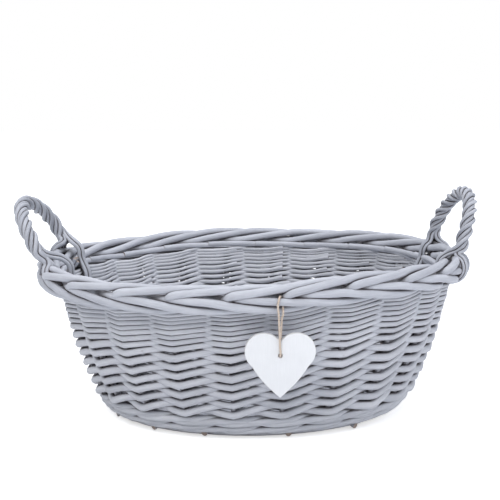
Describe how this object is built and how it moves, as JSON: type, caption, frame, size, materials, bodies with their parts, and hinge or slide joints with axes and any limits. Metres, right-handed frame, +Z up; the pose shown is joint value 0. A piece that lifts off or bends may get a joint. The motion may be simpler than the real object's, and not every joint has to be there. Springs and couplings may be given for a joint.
{
  "type": "oval willow basket",
  "caption": "Oval grey-painted willow basket with flared woven sides, a thick rolled border, two twisted end handles and a heart tag on twine.",
  "frame": {"origin": "centre of the base's flat underside, on the surface that the basket stands on", "axes": "+X along the length towards the right handle, +Y towards the back, +Z up; the heart tag is on the -Y side"},
  "size_m": [0.4051, 0.2885, 0.2027],
  "materials": {
    "stake_willow": "smooth willow rods with a thin matt cool-grey paint, for the stakes and the border",
    "weave_willow": "woven willow rods with a thin matt cool-grey paint",
    "base_willow": "woven willow base with a thin matt cool-grey paint",
    "handle_willow": "twisted thin willow rods with a thin matt cool-grey paint",
    "white_painted_wood": "thin board with matt white paint",
    "jute_twine": "natural jute, undyed"
  },
  "bodies": {
    "basket": {"base_weave": "base_willow", "base_cross_stick_1": "base_willow", "base_cross_stick_2": "base_willow", "base_cross_stick_3": "base_willow", "base_cross_stick_4": "base_willow", "base_cross_stick_5": "base_willow", "base_long_stick_1": "base_willow", "base_long_stick_2": "base_willow", "base_long_stick_3": "base_willow", "foot_wale": "weave_willow", "siding_band_1": "weave_willow", "siding_band_2": "weave_willow", "stake_01": "stake_willow", "stake_02": "stake_willow", "stake_03": "stake_willow", "stake_04": "stake_willow", "stake_05": "stake_willow", "stake_06": "stake_willow", "stake_07": "stake_willow", "stake_08": "stake_willow", "stake_09": "stake_willow", "stake_10": "stake_willow", "stake_11": "stake_willow", "stake_12": "stake_willow", "stake_13": "stake_willow", "stake_14": "stake_willow", "stake_15": "stake_willow", "stake_16": "stake_willow", "stake_17": "stake_willow", "stake_18": "stake_willow", "stake_19": "stake_willow", "stake_20": "stake_willow", "stake_21": "stake_willow", "stake_22": "stake_willow", "handle_right_strand_1": "handle_willow", "handle_right_strand_2": "handle_willow", "handle_right_strand_3": "handle_willow", "handle_left_strand_1": "handle_willow", "handle_left_strand_2": "handle_willow", "handle_left_strand_3": "handle_willow"},
    "twine": {"tag_twine": "jute_twine", "twine_knot": "jute_twine"},
    "tag": {"heart_tag": "white_painted_wood"}
  },
  "joints": [
    {"name": "twine_swing", "type": "hinge", "parent": "basket", "child": "twine", "pos_m": [0.01455, -0.14061, 0.1319], "axis": [-1, 0, 0], "range_deg": [-15, 80]},
    {"name": "heart_swivel", "type": "hinge", "parent": "twine", "child": "tag", "pos_m": [0.01455, -0.14061, 0.0896], "axis": [0, 1, 0], "range_deg": [-45, 45]}
  ]
}
